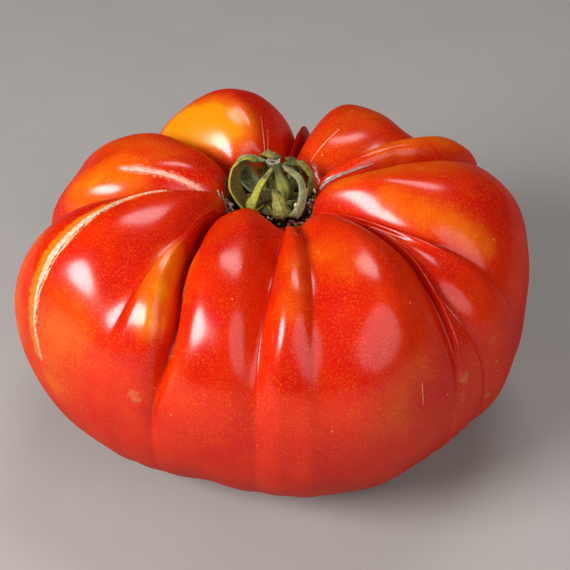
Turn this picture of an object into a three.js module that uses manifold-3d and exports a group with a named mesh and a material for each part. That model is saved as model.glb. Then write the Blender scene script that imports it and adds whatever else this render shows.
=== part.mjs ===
// A ripe, heavily ribbed beefsteak tomato: the fruit in one piece, and the dried calyx with its
// stalk stub that stands in the hollow on top. Millimetres, +Z up, resting on its flat underside.
// Everything is laid out round the stalk and moved at the end to stand centred on the origin.

import * as THREE from 'three';
import { ParametricGeometry } from 'three/addons/geometries/ParametricGeometry.js';
import { mergeVertices } from 'three/addons/utils/BufferGeometryUtils.js';
import Module from 'manifold-3d';

// Driving dimensions of the fruit
const HOLLOW_FLOOR = 58; // height of the middle of the hollow that the calyx stands in
const HOLLOW_RISE = 4; // how far that floor has risen where the lobes' inner walls start
const SOLE_RADIUS = 17; // radius of the flat that the fruit rests on
const CORE_RADIUS = 25; // radius and height of the ring in the flesh that creases are sunk towards
const CORE_HEIGHT = 34;
const TYPICAL_LOBE = { wall: 12.5, crown: [32, 72], girth: [62, 37], fullness: 2.3 };

// Each lobe runs from the hollow, over its crown and round its girth, down to the sole.
// wall: radius of the hollow in front of it; crown and girth: [radius, height];
// fullness: 2 for elliptical flanks, more for squarer ones; crest: where across it the crest lies;
// apart: 1 for a lobe that rises or falls evenly towards its neighbours, more for one that does so
// only near the creases.
// The crease is the one before the lobe, counter-clockwise from above, at seven stations: wall,
// shoulder, crown, brow, girth, haunch and sole. bearings are in degrees, 0 along +X, and depths
// are below the crests. lean tilts a crease under its neighbour, and softness rounds its bottom.
const LOBES = [
  {
    name: 'front_middle', wall: 17.5, crown: [36, 71], girth: [63, 36], fullness: 2.3, crest: 0.5,
    crease: {
      bearings: [-77, -79, -87, -92, -93, -94, -94],
      depths: [1.2, 3, 5.5, 5, 1, 0, 0], softness: 0.2,
    },
  },
  {
    name: 'front_right', wall: 16.5, crown: [37, 72.5], girth: [66, 37], fullness: 2.3, crest: 0.55,
    crease: {
      bearings: [-71, -72, -75, -79, -80, -80, -80],
      depths: [1, 2.6, 3.2, 2.4, 0.6, 0, 0], softness: 0.3,
    },
  },
  {
    name: 'lower_pleat', wall: 15, crown: [37, 65], girth: [64.5, 34], fullness: 2.2, crest: 0.5,
    crease: {
      bearings: [-43.5, -40.6, -39.6, -45, -47.5, -49, -50],
      depths: [3.5, 4.5, 4.5, 4.5, 1.2, 0.1, 0],
    },
  },
  {
    name: 'upper_pleat', wall: 14, crown: [36, 66], girth: [66, 36], fullness: 2.2, crest: 0.5,
    crease: {
      bearings: [-42.5, -39.6, -38.6, -43.5, -38, -38, -38],
      depths: [0, 0, 0.5, 2.6, 1.2, 0, 0], softness: 0.1,
    },
  },
  {
    name: 'right', wall: 12, crown: [33, 73], girth: [65, 38], fullness: 2.4, crest: 0.5,
    crease: {
      bearings: [-41.5, -38.4, -37, -29.5, -23, -20, -19],
      depths: [4.5, 6, 6, 3.4, 0.4, 0, 0], lean: 2,
    },
  },
  {
    name: 'right_ridge', wall: 11.5, crown: [30, 71], girth: [58, 40.5], fullness: 2.5, crest: 0.5,
    crease: {
      bearings: [-8, -3, 8, 17, 24, 28, 30],
      depths: [5, 7, 8, 5, 3.5, 2, 0], lean: -2,
    },
  },
  {
    name: 'back_right', wall: 11.5, crown: [28, 69.5], girth: [50.5, 38], fullness: 2.3, crest: 0.5,
    apart: 3,
    crease: {
      bearings: [12, 17, 22, 28, 33, 36, 38],
      depths: [3, 4, 3.6, 3, 2.5, 1.5, 0], softness: 0.3,
    },
  },
  {
    name: 'back_small', wall: 14, crown: [30, 60], girth: [43, 36], fullness: 2.2, crest: 0.5,
    apart: 5,
    crease: {
      bearings: [72, 73, 73.5, 72, 68, 66, 65],
      depths: [6, 9, 10, 9, 7, 3, 0],
    },
  },
  {
    name: 'back', wall: 11.5, crown: [28, 73], girth: [45, 42], fullness: 2.2, crest: 0.42,
    crease: {
      bearings: [77, 77, 77.5, 79, 80, 80, 80],
      depths: [6, 9, 10, 9, 7, 3, 0],
    },
  },
  {
    name: 'back_left', wall: 10.5, crown: [28, 71.5], girth: [53.4, 40], fullness: 2.4, crest: 0.5,
    crease: {
      bearings: [143, 143, 143, 143, 138, 134, 132],
      depths: [6, 9, 10, 10, 8, 3, 0],
    },
  },
  {
    name: 'left', wall: 12.5, crown: [35, 73], girth: [65.6, 40.5], fullness: 2.45, crest: 0.48,
    crease: {
      bearings: [206, 203, 195, 185.5, 177, 175, 174],
      depths: [6, 8, 9, 8, 6, 2.5, 0],
    },
  },
  {
    name: 'left_pleat', wall: 18, crown: [36, 69], girth: [61.5, 37], fullness: 2.4, crest: 0.5,
    crease: {
      bearings: [213.5, 224, 231.5, 232.5, 230, 229, 228],
      depths: [0, 0.5, 3.5, 4, 1, 0, 0], softness: 0.2,
    },
  },
  {
    name: 'front_left', wall: 11, crown: [29, 71.5], girth: [61, 38], fullness: 2.25, crest: 0.48,
    crease: {
      bearings: [214, 225, 235.5, 245, 243.5, 242, 242],
      depths: [4, 6.5, 9.5, 8, 1.8, 0, 0],
    },
  },
];
const CREASE_SOFTNESS = 0.05; // for a crease that gives none
const CREASE_SQUARENESS = 2.6; // 2 for lobes round across, more for fuller ones with narrower creases
const FULL_LEAN_DEPTH = 6; // a crease this deep leans all the way

// Driving dimensions of the calyx, with heights above the floor of the hollow
const CUSHION_RADIUS = 5.6; // the corky cushion that the sepals and the stalk grow from
const CUSHION_TOP = 2.4;
const CUSHION_UNDERSIDE = 0.75;
const STALK_RADIUS = 1.8;
const STALK_FLARE = 0.25; // how much wider the stalk is at its foot, as a share
const STALK_LINE = [[1.6, -0.6, 1.5], [3.4, -0.2, 4.8], [2.2, 0.3, 8.8], [0.8, 1.2, 12.5]];
const BLADE_THICKNESS = 0.9;
const BLADE_CURL = 0.16; // how far a sepal's edges curl in, as a share of its width
const CAGE_CENTRE = new THREE.Vector3(0.5, 0, 7); // the sepals arch round this point

// Each sepal's midline, from the cushion to its tip, and its greatest width. turned is how far its
// blade is turned about that line, in degrees, to show its hollow side.
const SEPALS = [
  {
    width: 5, turned: 38,
    line: [
      [-2, -1.2, 1.9], [-6.2, -3.6, 2.5], [-9, -2, 6.3],
      [-8.6, 0.8, 10.8], [-5.4, 1.6, 12.9], [-2.2, 1.4, 12.3],
    ],
  },
  {
    width: 3,
    line: [
      [-1.4, -2.2, 1.9], [-4.9, -5.4, 2.5], [-4.3, -4.9, 5.4],
      [-2.4, -2.4, 8.4], [0.9, -0.2, 11.8],
    ],
  },
  {
    width: 4.8,
    line: [
      [1, -2.4, 1.9], [2.9, -8, 2.4], [3, -9.2, 4],
      [2.2, -7, 6.2], [0.8, -4.8, 8.4],
    ],
  },
  {
    width: 3.8,
    line: [
      [2.4, -1.8, 1.9], [6, -7.6, 2.4], [7.7, -7.4, 4.4],
      [8.4, -4.2, 7], [7, -1.6, 9.9], [2.8, 0.6, 11.7],
    ],
  },
  {
    width: 3,
    line: [
      [2.9, 0.2, 1.9], [7.9, -0.6, 2.5], [10.1, 0, 5.2],
      [10, 1.4, 8.4], [7.6, 2.2, 11.2], [3.2, 1, 11.7],
    ],
  },
  {
    width: 4.2,
    line: [
      [2.2, 1.8, 1.9], [5.4, 4.9, 2.5], [7, 6.2, 5.9],
      [5.9, 5, 10], [3.7, 3, 11.7],
    ],
  },
  {
    width: 4.4,
    line: [
      [0.4, 2.4, 1.9], [0.2, 6.8, 2.5], [0, 9.2, 6.2],
      [-0.6, 6.6, 11.3], [0.4, 3.4, 13.2], [2.6, 2.4, 12.4],
    ],
  },
  {
    width: 4.8,
    line: [
      [-1.6, 1.8, 1.9], [-4.8, 5, 2.5], [-7.4, 6, 6.2],
      [-7.4, 4.4, 10.6], [-4.8, 3, 12.7], [-1.2, 1.4, 12.3],
    ],
  },
];

// How finely the surfaces are faceted
const COLUMNS_A_LOBE = 8;
const ROWS = 38;
const STRETCHES = [14, 24, 48, 60, 17]; // rough length of each stretch between two stations
const BLADE_SIDES = 8;
const BLADE_STEPS = 14;
const STALK_SIDES = 12;
const STALK_STEPS = 7;
const CUSHION_SIDES = 24;

const wasm = await Module();
wasm.setup();

// The value at place s in a list, along a smooth curve through its values
function along(values, s) {
  const place = THREE.MathUtils.clamp(s, 0, values.length - 1);
  const index = Math.min(Math.floor(place), values.length - 2);
  const f = place - index;
  const at = (i) => values[THREE.MathUtils.clamp(i, 0, values.length - 1)];
  const [a, b, c, d] = [at(index - 1), at(index), at(index + 1), at(index + 2)];
  return 0.5 * (2 * b + (c - a) * f + (2 * a - 5 * b + 4 * c - d) * f ** 2
    + (3 * b - a - 3 * c + d) * f ** 3);
}

// The [radius, height] of a lobe's crest. s runs 0 to 5: the middle of the hollow, the foot of
// its wall, the crown, the girth, the rim of the sole and the middle of the sole.
function crestPoint(lobe, s) {
  const [crownRadius, crownHeight] = lobe.crown;
  const [girthRadius, girthHeight] = lobe.girth;
  const footHeight = HOLLOW_FLOOR + HOLLOW_RISE;
  const stretch = Math.min(Math.floor(s), 4);
  const turn = (s - stretch) * Math.PI / 2;
  const power = 2 / lobe.fullness;
  const out = Math.max(0, Math.sin(turn)) ** power;
  const down = Math.max(0, Math.cos(turn)) ** power;
  if (stretch === 0) {
    return [lobe.wall * Math.sin(turn), HOLLOW_FLOOR + HOLLOW_RISE * (1 - Math.cos(turn))];
  }
  if (stretch === 1) {
    return [
      crownRadius - (crownRadius - lobe.wall) * Math.cos(turn),
      footHeight + (crownHeight - footHeight) * Math.sin(turn),
    ];
  }
  if (stretch === 2) {
    return [
      crownRadius + (girthRadius - crownRadius) * out,
      girthHeight + (crownHeight - girthHeight) * down,
    ];
  }
  if (stretch === 3) return [SOLE_RADIUS + (girthRadius - SOLE_RADIUS) * down, girthHeight * (1 - out)];
  return [SOLE_RADIUS * (5 - s), 0];
}

// The angle of a [radius, height] seen from the core ring, counted up from straight out and
// falling steadily from the hollow, over the crown, to the middle of the sole
const angleOf = ([radius, height]) => Math.atan2(height - CORE_HEIGHT, radius - CORE_RADIUS);

// How far a lobe's crest lies from the core ring at that angle
function crestReach(lobe, angle) {
  let [low, high] = [0, 5];
  for (let halving = 0; halving < 40; halving += 1) {
    const s = (low + high) / 2;
    if (angleOf(crestPoint(lobe, s)) > angle) low = s;
    else high = s;
  }
  const [radius, height] = crestPoint(lobe, low);
  return Math.hypot(radius - CORE_RADIUS, height - CORE_HEIGHT);
}

// How deep a point lies at a share x of the way from a crease to the crest: 1 at the crease, 0 at
// the crest, and a full round arc between
function hollowing(x, softness) {
  const power = CREASE_SQUARENESS;
  const arc = (value) => 1 - (1 - (1 - Math.min(1, value)) ** power) ** (1 / power);
  return arc(Math.hypot(x * Math.sqrt(1 - softness ** 2), softness)) / arc(softness);
}

// The bearing, depth and softness of the crease before a lobe, at place s down the fruit
function creaseAt(lobe, s) {
  const { bearings, depths, lean = 0, softness = CREASE_SOFTNESS } = lobe.crease;
  const station = (s - 1) * 2;
  return {
    bearing: along(bearings, station),
    depth: along(depths, station) * Math.min(1, s),
    lean,
    softness,
  };
}

// The point of the skin in lobe number k, at a share u across it and place s down it
function skinPoint(k, u, s, target) {
  const lobe = LOBES[k];
  const before = LOBES[(k + LOBES.length - 1) % LOBES.length];
  const after = LOBES[(k + 1) % LOBES.length];
  const near = creaseAt(lobe, s);
  const far = creaseAt(after, s);
  if (far.bearing < near.bearing) far.bearing += 360;

  const angle = angleOf(crestPoint(TYPICAL_LOBE, s));
  const side = Math.abs(2 * u - 1);
  const blend = (side * side * (3 - 2 * side)) ** (lobe.apart ?? 1) / 2;
  const own = crestReach(lobe, angle);
  const other = crestReach(u < 0.5 ? before : after, angle);

  const nearShare = hollowing(Math.min(1, u / lobe.crest), near.softness);
  const farShare = hollowing(Math.min(1, (1 - u) / (1 - lobe.crest)), far.softness);
  const depth = near.depth * nearShare + far.depth * farShare;
  const lean = (crease, share) => (
    crease.lean * share ** 2 * Math.min(1, crease.depth / FULL_LEAN_DEPTH)
  );
  const bearing = near.bearing + (far.bearing - near.bearing) * u
    + lean(near, nearShare) + lean(far, farShare);

  const reach = own + (other - own) * blend - depth;
  const turn = THREE.MathUtils.degToRad(bearing);
  const radius = Math.max(0, CORE_RADIUS + reach * Math.cos(angle));
  const height = Math.max(0, CORE_HEIGHT + reach * Math.sin(angle));
  return target.set(radius * Math.cos(turn), radius * Math.sin(turn), height);
}

// Place s at a share of the way down the fruit, with the rows about evenly spread
function placeDown(share) {
  const total = STRETCHES.reduce((sum, length) => sum + length, 0);
  let rest = share * total;
  for (let stretch = 0; stretch < STRETCHES.length; stretch += 1) {
    if (rest <= STRETCHES[stretch]) return stretch + rest / STRETCHES[stretch];
    rest -= STRETCHES[stretch];
  }
  return STRETCHES.length;
}

// A closed surface with its shared points merged and the faces that shrank to a line dropped
function closedGeometry(geometry) {
  geometry.deleteAttribute('normal');
  geometry.deleteAttribute('uv');
  const merged = mergeVertices(geometry);
  const corners = merged.getIndex().array;
  const kept = [];
  for (let i = 0; i < corners.length; i += 3) {
    const [a, b, c] = [corners[i], corners[i + 1], corners[i + 2]];
    if (a !== b && b !== c && c !== a) kept.push(a, b, c);
  }
  merged.setIndex(kept);
  return merged;
}

function toSolid(geometry) {
  const closed = closedGeometry(geometry);
  return new wasm.Manifold(new wasm.Mesh({
    numProp: 3,
    vertProperties: new Float32Array(closed.getAttribute('position').array),
    triVerts: new Uint32Array(closed.getIndex().array),
  }));
}

function fromSolid(solid) {
  const mesh = solid.getMesh();
  const geometry = new THREE.BufferGeometry();
  geometry.setAttribute('position', new THREE.BufferAttribute(mesh.vertProperties, 3));
  geometry.setIndex(new THREE.BufferAttribute(mesh.triVerts, 1));
  return geometry;
}

// The fruit, with its columns gathered towards the creases and its rows running from the sole up
function fruitGeometry() {
  const surface = (u, v, target) => {
    const place = THREE.MathUtils.clamp(u, 0, 1) * LOBES.length;
    const lobe = Math.min(Math.floor(place), LOBES.length - 1);
    const across = (1 - Math.cos(Math.PI * (place - lobe))) / 2;
    skinPoint(lobe, across, placeDown(1 - THREE.MathUtils.clamp(v, 0, 1)), target);
  };
  return closedGeometry(new ParametricGeometry(surface, LOBES.length * COLUMNS_A_LOBE, ROWS));
}

const lifted = ([x, y, z]) => new THREE.Vector3(x, y, HOLLOW_FLOOR + z);
const smoothLine = (points) => new THREE.CatmullRomCurve3(points.map(lifted), false, 'centripetal');

// A closed body swept along a line. section gives how far out a point lies to the side and away
// from the cage's centre, for an angle round the line and a share along it. A body cut off square
// has its last two rings in one place, and the last of all is drawn in to a point.
function sweptGeometry(line, section, sides, steps, cutSquare = false) {
  const centre = CAGE_CENTRE.clone();
  centre.z += HOLLOW_FLOOR;
  const scale = cutSquare ? steps / (steps - 1) : 1;
  const surface = (u, v, target) => {
    const share = THREE.MathUtils.clamp(v * scale, 0, 1);
    const middle = line.getPoint(share);
    const forward = line.getTangent(share);
    const outward = middle.clone().sub(centre);
    outward.addScaledVector(forward, -outward.dot(forward)).normalize();
    const sideways = outward.clone().cross(forward);
    const [side, out] = v < 1 ? section(2 * Math.PI * u, share) : [0, 0];
    target.copy(middle).addScaledVector(sideways, side).addScaledVector(outward, out);
  };
  return new ParametricGeometry(surface, sides, steps);
}

function sepalGeometry({ line, width, turned = 0 }) {
  const turn = THREE.MathUtils.degToRad(turned);
  const section = (angle, share) => {
    const end = Math.min(1, 12 * share, 12 * (1 - share));
    const half = end * width * (0.5 - 0.32 * share ** 2);
    const side = half * Math.cos(angle);
    const curl = BLADE_CURL * half * Math.cos(angle) ** 2;
    const out = end * BLADE_THICKNESS / 2 * Math.sin(angle) - curl;
    return [
      side * Math.cos(turn) + out * Math.sin(turn),
      out * Math.cos(turn) - side * Math.sin(turn),
    ];
  };
  return sweptGeometry(smoothLine(line), section, BLADE_SIDES, BLADE_STEPS);
}

// The stalk stub, flared a little at its foot and cut off square at its top
function stalkGeometry() {
  const section = (angle, share) => {
    const radius = share > 0 ? STALK_RADIUS * (1 + STALK_FLARE * (1 - share) ** 3) : 0;
    return [radius * Math.cos(angle), radius * Math.sin(angle)];
  };
  return sweptGeometry(smoothLine(STALK_LINE), section, STALK_SIDES, STALK_STEPS, true);
}

function cushionGeometry() {
  const profile = [
    [0, CUSHION_UNDERSIDE], [0.75, CUSHION_UNDERSIDE], [1, 1.5],
    [0.94, 2], [0.6, CUSHION_TOP], [0, CUSHION_TOP],
  ].map(([share, height]) => new THREE.Vector2(share * CUSHION_RADIUS, height + HOLLOW_FLOOR));
  return new THREE.LatheGeometry(profile, CUSHION_SIDES).rotateX(Math.PI / 2);
}

// Everything that stands in the hollow grew together, so it is joined in one body
function calyxGeometry() {
  const grown = [stalkGeometry(), ...SEPALS.map(sepalGeometry)];
  const cushion = toSolid(cushionGeometry());
  return fromSolid(grown.reduce((solid, geometry) => solid.add(toSolid(geometry)), cushion));
}

const skin = new THREE.MeshStandardMaterial({ color: 0xd62f0e, roughness: 0.22, metalness: 0 });
const driedGreen = new THREE.MeshStandardMaterial({ color: 0x7e8535, roughness: 0.85, metalness: 0 });

const fruit = new THREE.Mesh(fruitGeometry(), skin);
fruit.name = 'fruit';

const calyx = new THREE.Mesh(calyxGeometry(), driedGreen);
calyx.name = 'calyx';

const tomato = new THREE.Group();
tomato.add(fruit, calyx);

const extent = new THREE.Box3().setFromObject(tomato);
const middle = extent.getCenter(new THREE.Vector3());
tomato.position.set(-middle.x, -middle.y, -extent.min.z);

export default tomato;
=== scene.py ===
"""A ripe ribbed tomato with its half-dried green calyx, dressed for rendering."""

import math

import bpy
import numpy as np
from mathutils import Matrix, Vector


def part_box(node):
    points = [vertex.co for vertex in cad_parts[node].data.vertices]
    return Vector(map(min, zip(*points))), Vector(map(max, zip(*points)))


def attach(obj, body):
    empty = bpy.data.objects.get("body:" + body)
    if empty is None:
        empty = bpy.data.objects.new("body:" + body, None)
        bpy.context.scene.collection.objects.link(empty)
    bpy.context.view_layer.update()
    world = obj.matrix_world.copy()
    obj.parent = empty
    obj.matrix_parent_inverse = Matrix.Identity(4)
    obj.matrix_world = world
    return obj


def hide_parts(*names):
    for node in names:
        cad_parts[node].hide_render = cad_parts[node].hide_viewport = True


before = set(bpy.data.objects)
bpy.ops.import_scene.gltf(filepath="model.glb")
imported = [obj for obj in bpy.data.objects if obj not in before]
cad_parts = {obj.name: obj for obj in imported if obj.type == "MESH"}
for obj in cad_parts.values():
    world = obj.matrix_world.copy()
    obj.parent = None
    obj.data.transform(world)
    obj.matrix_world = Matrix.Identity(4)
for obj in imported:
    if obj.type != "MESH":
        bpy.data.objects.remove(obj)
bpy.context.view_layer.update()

MILLIMETRE = 0.001
RANDOM_SEED = 7


def table(keys, rows):
    """Rows as dictionaries. A row can end with a dictionary of what only some rows have."""
    return [dict(zip(keys, row), **dict(*row[len(keys):])) for row in rows]


# The fruit's form, in millimetres from the foot of the stem straight above the sole
HOLLOW_FLOOR = 58.0
FLOOR_LEVEL = np.array([0, 0, HOLLOW_FLOOR])
HOLLOW_RISE = 4.0
SOLE_RADIUS = 17.0
CORE_RADIUS = 25.0
CORE_HEIGHT = 34.0
FULL_LEAN_DEPTH = 6.0
CREASE_SOFTNESS = 0.05
CREASE_SQUARENESS = 2.6
TYPICAL_LOBE = {"wall": 12.5, "crown": (32, 72), "girth": (62, 37), "fullness": 2.3}

# Places down a lobe's crest: 0 hollow centre, 1 wall, 2 crown, 3 girth, 4 rim, 5 sole centre
HOLLOW_END = 1.9
GIRTH_PLACE = 3
LAST_PLACE = 5

# The lobes in order round the fruit. The wall is a radius, and the crown and girth are a radius and a
# height. A fuller lobe is squarer between them, and its crest is a share of the way across it.
# Bearings in degrees and depths are of the crease before the lobe, at seven places down the fruit:
# wall, shoulder, crown, brow, girth, haunch and sole. A soft crease has a rounded bottom, and lean
# turns its edge aside by so many degrees. A lobe that stands apart blends into its neighbours only
# close to its creases, and a shaded one gets painted shade, dark and bluish red, as in a fold.
LOBES = table(("name", "wall", "crown", "girth", "fullness", "bearings", "depths"), [
    ("front_middle", 17.5, (36, 71), (63, 36), 2.3, (-77, -79, -87, -92, -93, -94, -94),
     (1.2, 3, 5.5, 5, 1, 0, 0), {"softness": 0.2}),
    ("front_right", 16.5, (37, 72.5), (66, 37), 2.3, (-71, -72, -75, -79, -80, -80, -80),
     (1, 2.6, 3.2, 2.4, 0.6, 0, 0), {"softness": 0.3, "crest": 0.55}),
    ("lower_pleat", 15, (37, 65), (64.5, 34), 2.2, (-43.5, -40.6, -39.6, -45, -47.5, -49, -50),
     (3.5, 4.5, 4.5, 4.5, 1.2, 0.1, 0)),
    ("upper_pleat", 14, (36, 66), (66, 36), 2.2, (-42.5, -39.6, -38.6, -43.5, -38, -38, -38),
     (0, 0, 0.5, 2.6, 1.2, 0, 0), {"softness": 0.1}),
    ("right", 12, (33, 73), (65, 38), 2.4, (-41.5, -38.4, -37, -29.5, -23, -20, -19),
     (4.5, 6, 6, 3.4, 0.4, 0, 0), {"lean": 2}),
    ("right_ridge", 11.5, (30, 71), (58, 40.5), 2.5, (-8, -3, 8, 17, 24, 28, 30),
     (5, 7, 8, 5, 3.5, 2, 0), {"lean": -2}),
    ("back_right", 11.5, (28, 69.5), (50.5, 38), 2.3, (12, 17, 22, 28, 33, 36, 38),
     (3, 4, 3.6, 3, 2.5, 1.5, 0), {"softness": 0.3, "apart": 3}),
    ("back_small", 14, (30, 60), (43, 36), 2.2, (72, 73, 73.5, 72, 68, 66, 65),
     (6, 9, 10, 9, 7, 3, 0), {"apart": 5, "shaded": 1.0}),
    ("back", 11.5, (28, 73), (45, 42), 2.2, (77, 77, 77.5, 79, 80, 80, 80),
     (6, 9, 10, 9, 7, 3, 0), {"crest": 0.42}),
    ("back_left", 10.5, (28, 71.5), (53.4, 40), 2.4, (143, 143, 143, 143, 138, 134, 132),
     (6, 9, 10, 10, 8, 3, 0)),
    ("left", 12.5, (35, 73), (65.6, 40.5), 2.45, (206, 203, 195, 185.5, 177, 175, 174),
     (6, 8, 9, 8, 6, 2.5, 0), {"crest": 0.48}),
    ("left_pleat", 18, (36, 69), (61.5, 37), 2.4, (213.5, 224, 231.5, 232.5, 230, 229, 228),
     (0, 0.5, 3.5, 4, 1, 0, 0), {"softness": 0.2}),
    ("front_left", 11, (29, 71.5), (61, 38), 2.25, (214, 225, 235.5, 245, 243.5, 242, 242),
     (4, 6.5, 9.5, 8, 1.8, 0, 0), {"crest": 0.48}),
])
LOBE_NUMBER = {lobe["name"]: number for number, lobe in enumerate(LOBES)}
MIDDLE_CREST = 0.5

# How finely the skin is meshed: the pitch across at the girth, and steps down each stretch
SKIN_PITCH = 0.95
FEWEST_COLUMNS = 16
COLUMN_CROWDING = 0.55
SKIN_STRETCHES = (22, 36, 56, 58, 14)
WAVINESS = 0.22
NORMAL_STEP = 0.004

# Where the skin stayed golden: lobe, (across, place) of both ends, reach in millimetres, strength
GOLD_PATCHES = [
    ("back", (0.74, 1.62), (0.93, 2.02), 6.4, 2.1),
    ("left_pleat", (0.74, 2.15), (0.72, 2.5), 4.5, 0.85),
    ("right_ridge", (0.75, 1.85), (0.6, 2.35), 6.0, 0.5),
    ("right", (0.22, 2.0), (0.13, 2.5), 5.0, 0.5),
    ("right", (0.62, 1.5), (0.75, 2.2), 6.0, 0.4),
    ("front_middle", (0.6, 2.1), (0.5, 2.35), 5.0, 0.34),
    ("front_right", (0.1, 2.05), (0.3, 2.2), 7.0, 0.3),
    ("front_right", (0.6, 2.8), (0.45, 2.95), 9.0, 0.28),
    ("front_left", (0.1, 2.6), (0.2, 2.8), 6.0, 0.2),
    ("back_left", (0.8, 2.05), (0.93, 2.35), 7.0, 0.7),
    ("back_left", (0.5, 1.8), (0.4, 2.2), 8.0, 0.3),
    ("left", (0.3, 2.6), (0.5, 2.95), 8.0, 0.36),
    ("left", (0.8, 2.7), (0.75, 3.0), 10.0, 0.4),
    ("back_small", (0.5, 2.2), (0.5, 2.8), 9.0, 0.35),
    ("back_right", (0.5, 2.6), (0.4, 3.3), 10.0, 0.35),
    ("back_right", (0.4, 1.5), (0.5, 2.2), 9.0, 0.26),
    ("back", (0.4, 2.5), (0.6, 3.2), 10.0, 0.35),
]
PATCH_STEPS = 6
MARK_STEPS = 60

# Small tan spots on the skin: lobe, across, place, radius in millimetres
TAN_SPOTS = [
    ("left_pleat", 0.71, 2.9, 1.3),
    ("lower_pleat", 0.2, 2.92, 1.3),
    ("lower_pleat", 0.12, 2.99, 0.7),
    ("upper_pleat", 0.08, 3.09, 0.7),
    ("upper_pleat", 0.26, 2.87, 0.4),
    ("front_middle", 0.77, 1.84, 0.6),
    ("back_left", 0.4, 2.6, 0.8),
    ("back", 0.6, 2.7, 0.9),
    ("right_ridge", 0.6, 2.8, 0.7),
]

# Corky marks on the skin: lobe, route of (across, place), half widths along it in millimetres
SIDE_CRACK = (
    "left",
    [(0.32, 1.84), (0.33, 2.0), (0.37, 2.11), (0.425, 2.22), (0.48, 2.33), (0.52, 2.43), (0.55, 2.52),
     (0.58, 2.6), (0.61, 2.69), (0.635, 2.77), (0.655, 2.84), (0.675, 2.9), (0.7, 2.97)],
    [0.15, 0.35, 0.55, 0.9, 1.2, 1.35, 1.25, 1.05, 0.85, 0.65, 0.5, 0.4, 0.12],
)
SHOULDER_SCAR = (
    "back_left",
    [(0.76, 2.07), (0.775, 2.0), (0.79, 1.88), (0.8, 1.72), (0.83, 1.56), (0.88, 1.38), (0.92, 1.2)],
    [0.45, 0.8, 0.65, 0.7, 0.65, 0.5, 0.2],
)
STEM_CRACK = (
    "right_ridge",
    [(0.26, 1.04), (0.24, 1.2), (0.22, 1.36), (0.2, 1.52), (0.18, 1.66), (0.16, 1.78)],
    [0.4, 0.5, 0.45, 0.4, 0.3, 0.1],
)
PALE_STREAKS = [
    ("back", [(0.29, 1.66), (0.29, 1.5), (0.29, 1.34), (0.29, 1.16)], [0.05, 0.16, 0.2, 0.08]),
    ("back", [(0.23, 1.54), (0.23, 1.4), (0.235, 1.24)], [0.05, 0.15, 0.06]),
    ("back_right", [(0.45, 1.16), (0.45, 1.36), (0.455, 1.56), (0.46, 1.74)], [0.08, 0.24, 0.26, 0.06]),
    ("front_right", [(0.665, 2.82), (0.668, 2.87), (0.672, 2.92)], [0.05, 0.16, 0.05]),
]
SIDE_CRACK_HALO_ASIDE = -0.03
FARTHEST_FIELD = 12.0
# How far the painted fold shade reaches from a crease, and the crease depth that gives it in full
FOLD_SHADE_REACH = 1.6
FOLD_SHADE_FULL_DEPTH = 6.0

# The corky strips, in millimetres
STRIP_EDGE_SINK = 0.25
STRIP_BELLY_SINK = 0.6
STRIP_STEP = 0.3

# The calyx, in millimetres, with heights above the hollow's floor
CUSHION_RADIUS = 5.6
CUSHION_UNDERSIDE = 0.75
CUSHION_OUTLINE = [
    (0.3, CUSHION_UNDERSIDE), (4.6, CUSHION_UNDERSIDE), (5.4, 1.1), (CUSHION_RADIUS, 1.6), (5.2, 2.1),
    (4.2, 2.4), (3.2, 2.35), (2.4, 2.5), (1.2, 2.7), (0.3, 2.7),
]
CUSHION_SIDES = 64
STALK_RADIUS = 1.8
STALK_LINE = [(1.6, -0.6, 1.5), (3.4, -0.2, 4.8), (2.2, 0.3, 8.8), (0.8, 1.2, 12.5)]
STALK_CUT_FACING = (-0.05, 0.1, 1)
STALK_STEPS = 40
STALK_SIDES = 40
# The rings of the stalk's cut face: share of its radius, rise, and how dark its hollow is
CUT_RINGS = [
    (0.93, 0.12, 0.0), (0.8, 0.02, 0.05), (0.66, -0.16, 0.75), (0.5, -0.1, 0.15), (0.36, -0.2, 0.6),
    (0.2, -0.45, 1.0), (0.08, -0.6, 1.0),
]
CAGE_CENTRE = (0.5, 0, 7)

# Colours of the sepals, as linear red, green and blue. The last column is a darker copy in painted shade
# for the inner face.
YELLOW_GREEN, GREY_GREEN, OLIVE_BROWN, LEAF_GREEN = table(("fresh", "dry", "tip", "shaded_inside"), [
    ((0.34, 0.36, 0.02), (0.45, 0.42, 0.03), (0.12, 0.11, 0.02), (0.20, 0.10, 0.016)),
    ((0.21, 0.25, 0.08), (0.36, 0.36, 0.19), (0.14, 0.15, 0.06), (0.06, 0.055, 0.012)),
    ((0.27, 0.29, 0.04), (0.22, 0.15, 0.04), (0.05, 0.045, 0.012), (0.05, 0.04, 0.01)),
    ((0.18, 0.27, 0.04), (0.32, 0.15, 0.03), (0.07, 0.09, 0.02), (0.10, 0.06, 0.01)),
])
VEIN_GREEN = (0.42, 0.40, 0.16)
MOTTLE_BROWN = (0.045, 0.032, 0.012)
FUZZ_PALE = (0.50, 0.48, 0.30)

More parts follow.
